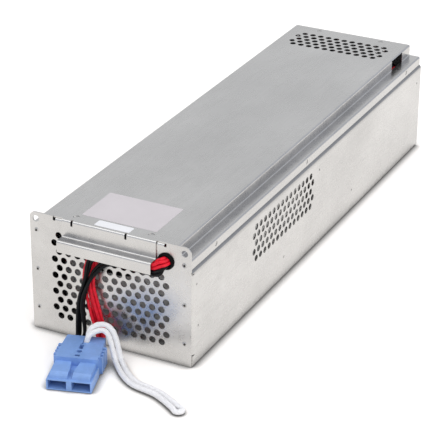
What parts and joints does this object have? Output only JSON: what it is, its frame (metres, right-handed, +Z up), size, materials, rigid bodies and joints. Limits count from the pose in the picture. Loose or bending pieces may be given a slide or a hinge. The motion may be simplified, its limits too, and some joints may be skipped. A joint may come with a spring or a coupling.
{
  "type": "UPS battery cartridge",
  "caption": "Long folded-steel battery cartridge with perforated front, folded handle, and a lead set ending in a two-pole power connector.",
  "frame": {"origin": "middle of the tray's underside", "axes": "+X to the right seen from the front, +Y from the front panel to the rear, +Z up"},
  "size_m": [0.2021, 0.6622, 0.123],
  "materials": {
    "zinc_steel": "brushed",
    "rivet_metal": "satin",
    "black_rubber": "matt",
    "battery_case": "matt",
    "tinned_brass": "satin",
    "foam": "matt",
    "insulating_sheet": "satin",
    "red_insulation": "satin",
    "black_insulation": "satin",
    "blue_plastic": "satin",
    "silvered_copper": "satin",
    "spring_steel": "satin",
    "white_braid": "matt"
  },
  "bodies": {
    "root": {"tray": "zinc_steel", "front_panel": "zinc_steel", "top_cover": "zinc_steel", "rear_panel": "zinc_steel", "battery_stop": "zinc_steel", "panel_rivets": "rivet_metal", "cable_grommet": "black_rubber", "battery_1": "battery_case", "battery_2": "battery_case", "battery_3": "battery_case", "battery_4": "battery_case", "battery_5": "battery_case", "battery_6": "battery_case", "battery_7": "battery_case", "battery_8": "battery_case", "left_tabs": "tinned_brass", "right_tabs": "tinned_brass", "rear_pad": "foam", "left_side_pad": "foam", "right_side_pad": "foam", "insulating_liner": "insulating_sheet", "red_lead_1": "red_insulation", "red_lead_2": "red_insulation", "red_lead_3": "red_insulation", "red_lead_4": "red_insulation", "red_harness": "red_insulation", "series_links": "red_insulation", "black_lead_1": "black_insulation", "black_lead_2": "black_insulation", "black_lead_3": "black_insulation", "black_lead_4": "black_insulation", "black_harness": "black_insulation", "connector_housing": "blue_plastic", "left_contact": "silvered_copper", "right_contact": "silvered_copper", "left_spring": "spring_steel", "right_spring": "spring_steel", "lanyard_cord": "white_braid"}
  },
  "joints": []
}
